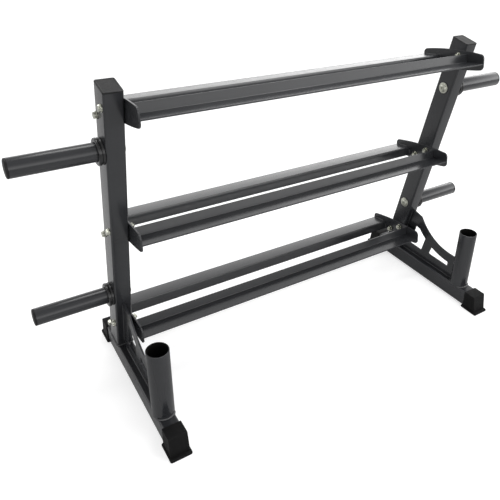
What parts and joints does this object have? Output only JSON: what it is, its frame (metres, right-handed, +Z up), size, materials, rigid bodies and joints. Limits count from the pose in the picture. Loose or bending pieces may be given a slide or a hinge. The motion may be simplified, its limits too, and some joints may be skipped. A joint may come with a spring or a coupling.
{
  "type": "dumbbell rack",
  "caption": "Tiered steel dumbbell rack: angle-section rails between leaning uprights, with plate pegs and upright barbell tubes on the side frames.",
  "frame": {"origin": "on the floor, at the centre of the rack's bounding box", "axes": "+Z up, +X along the shelves, +Y towards the low, rear edge of the shelves; the barbell tubes stand on the -Y side"},
  "size_m": [1.697, 0.628, 0.9694],
  "materials": {
    "powder_coat": "charcoal satin powder coat",
    "foot_rubber": "matte black moulded rubber",
    "cap_plastic": "matte dark grey moulded plastic",
    "gloss_plastic": "glossy black moulded plastic",
    "zinc": "zinc plated, satin"
  },
  "bodies": {
    "root": {"left_base_tube": "powder_coat", "left_gusset_plate": "powder_coat", "left_barbell_holder": "powder_coat", "left_upright": "powder_coat", "left_front_foot": "foot_rubber", "left_rear_foot": "foot_rubber", "left_upright_cap": "cap_plastic", "lower_left_peg": "powder_coat", "lower_left_peg_collar": "gloss_plastic", "lower_left_peg_cap": "cap_plastic", "lower_left_peg_bolt": "zinc", "lower_left_peg_washer": "zinc", "upper_left_peg": "powder_coat", "upper_left_peg_collar": "gloss_plastic", "upper_left_peg_cap": "cap_plastic", "upper_left_peg_bolt": "zinc", "upper_left_peg_washer": "zinc", "right_base_tube": "powder_coat", "right_gusset_plate": "powder_coat", "right_barbell_holder": "powder_coat", "right_upright": "powder_coat", "right_front_foot": "foot_rubber", "right_rear_foot": "foot_rubber", "right_upright_cap": "cap_plastic", "lower_right_peg": "powder_coat", "lower_right_peg_collar": "gloss_plastic", "lower_right_peg_cap": "cap_plastic", "lower_right_peg_bolt": "zinc", "lower_right_peg_washer": "zinc", "upper_right_peg": "powder_coat", "upper_right_peg_collar": "gloss_plastic", "upper_right_peg_cap": "cap_plastic", "upper_right_peg_bolt": "zinc", "upper_right_peg_washer": "zinc", "bottom_front_rail": "powder_coat", "bottom_rear_rail": "powder_coat", "bottom_left_end_plate": "powder_coat", "bottom_left_front_bolt": "zinc", "bottom_left_rear_bolt": "zinc", "bottom_right_end_plate": "powder_coat", "bottom_right_front_bolt": "zinc", "bottom_right_rear_bolt": "zinc", "middle_front_rail": "powder_coat", "middle_rear_rail": "powder_coat", "middle_left_end_plate": "powder_coat", "middle_left_front_bolt": "zinc", "middle_left_rear_bolt": "zinc", "middle_right_end_plate": "powder_coat", "middle_right_front_bolt": "zinc", "middle_right_rear_bolt": "zinc", "top_front_rail": "powder_coat", "top_rear_rail": "powder_coat", "top_left_end_plate": "powder_coat", "top_left_front_bolt": "zinc", "top_left_rear_bolt": "zinc", "top_right_end_plate": "powder_coat", "top_right_front_bolt": "zinc", "top_right_rear_bolt": "zinc"}
  },
  "joints": []
}
